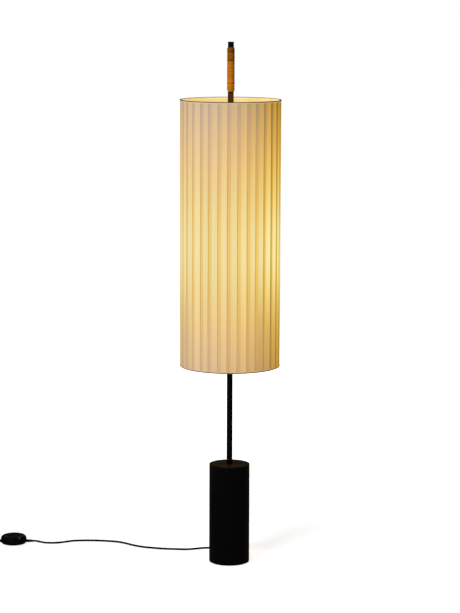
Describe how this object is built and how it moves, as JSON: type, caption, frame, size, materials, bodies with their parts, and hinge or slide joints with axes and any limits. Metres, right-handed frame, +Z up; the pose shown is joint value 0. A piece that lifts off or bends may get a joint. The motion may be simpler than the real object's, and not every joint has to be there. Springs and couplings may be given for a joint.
{
  "type": "floor lamp",
  "caption": "Floor lamp: slim pole through a tall drum shade of lapped ribbons, cane-wound handle on top, weighted cylinder base, cord with round foot dimmer.",
  "frame": {"origin": "centre of the base's underside, on the floor", "axes": "+Z up along the pole; +X to the right and +Y away as the picture sees it, so the front is at -Y; the cord leaves at +Y and runs to -X"},
  "size_m": [1.1109, 0.4159, 1.65],
  "materials": {
    "black_lacquer": "fine satin black lacquer",
    "disc_lacquer": "satin black lacquer that catches the lamp's warm light",
    "ballast_iron": "rough casting",
    "bare_steel": "zinc plated",
    "pin_metal": "nickel plated",
    "felt": "pressed wool felt",
    "soft_black": "matt moulded",
    "cord_sheath": "smooth satin sheath",
    "lead_sleeve": "clear gold insulation",
    "holder_plastic": "moulded, heat resistant",
    "opal_glass": "opal",
    "cap_metal": "rolled thread",
    "liner_film": "translucent, laminated",
    "ribbon_fabric": "raw cotton ribbon, lit from inside",
    "binding_tape": "cotton tape",
    "cane": "split cane, lightly varnished",
    "end_cap_black": "satin black",
    "dimmer_plastic": "moulded, satin gloss",
    "slider_plastic": "moulded, fine ribs",
    "pilot_red": "clear red lens",
    "board_green": "coated laminate",
    "part_grey": "moulded",
    "tie_fabric": "woven hook strap",
    "plug_plastic": "moulded, satin gloss"
  },
  "bodies": {
    "lamp": {"base_foot_pad": "felt", "base_plate": "black_lacquer", "base_washer": "bare_steel", "base_nut": "bare_steel", "base_ballast": "ballast_iron", "base_sleeve": "black_lacquer", "base_top_disc": "disc_lacquer", "cord_gland": "soft_black", "inner_lead": "cord_sheath", "lower_pole": "black_lacquer", "pole_nipple": "bare_steel", "upper_pole": "black_lacquer", "crossbar": "bare_steel", "left_holder_nipple": "bare_steel", "right_holder_nipple": "bare_steel", "holder_nuts": "bare_steel", "left_holder_base": "holder_plastic", "right_holder_base": "holder_plastic", "left_holder_shell": "holder_plastic", "right_holder_shell": "holder_plastic", "left_holder_lead": "lead_sleeve", "right_holder_lead": "lead_sleeve", "left_bulb_cap": "cap_metal", "right_bulb_cap": "cap_metal", "left_bulb_glass": "opal_glass", "right_bulb_glass": "opal_glass", "top_frame": "bare_steel", "bottom_frame": "bare_steel", "shade_liner": "liner_film", "shade_ribbons": "ribbon_fabric", "top_binding": "binding_tape", "bottom_binding": "binding_tape", "handle_nipple": "bare_steel", "handle_tube": "black_lacquer", "handle_winding": "cane", "handle_cap": "end_cap_black", "cord_to_dimmer": "cord_sheath", "dimmer_inlet": "soft_black", "dimmer_outlet": "soft_black", "dimmer_base": "dimmer_plastic", "dimmer_cover": "dimmer_plastic", "dimmer_feet": "soft_black", "dimmer_screws": "bare_steel", "dimmer_board": "board_green", "dimmer_terminals": "part_grey", "dimmer_leads": "cord_sheath", "dimmer_potentiometer": "part_grey", "dimmer_pilot": "pilot_red", "cord_to_coil": "cord_sheath", "cord_coil": "cord_sheath", "coil_tie": "tie_fabric", "cord_to_plug": "cord_sheath", "plug_relief": "soft_black", "plug_body": "plug_plastic", "plug_pins": "pin_metal"},
    "slider": {"dimmer_slider": "slider_plastic"}
  },
  "joints": [
    {"name": "dimmer_slide", "type": "slide", "parent": "lamp", "child": "slider", "axis": [1, 0, 0], "range_m": [0, 0.022]}
  ]
}
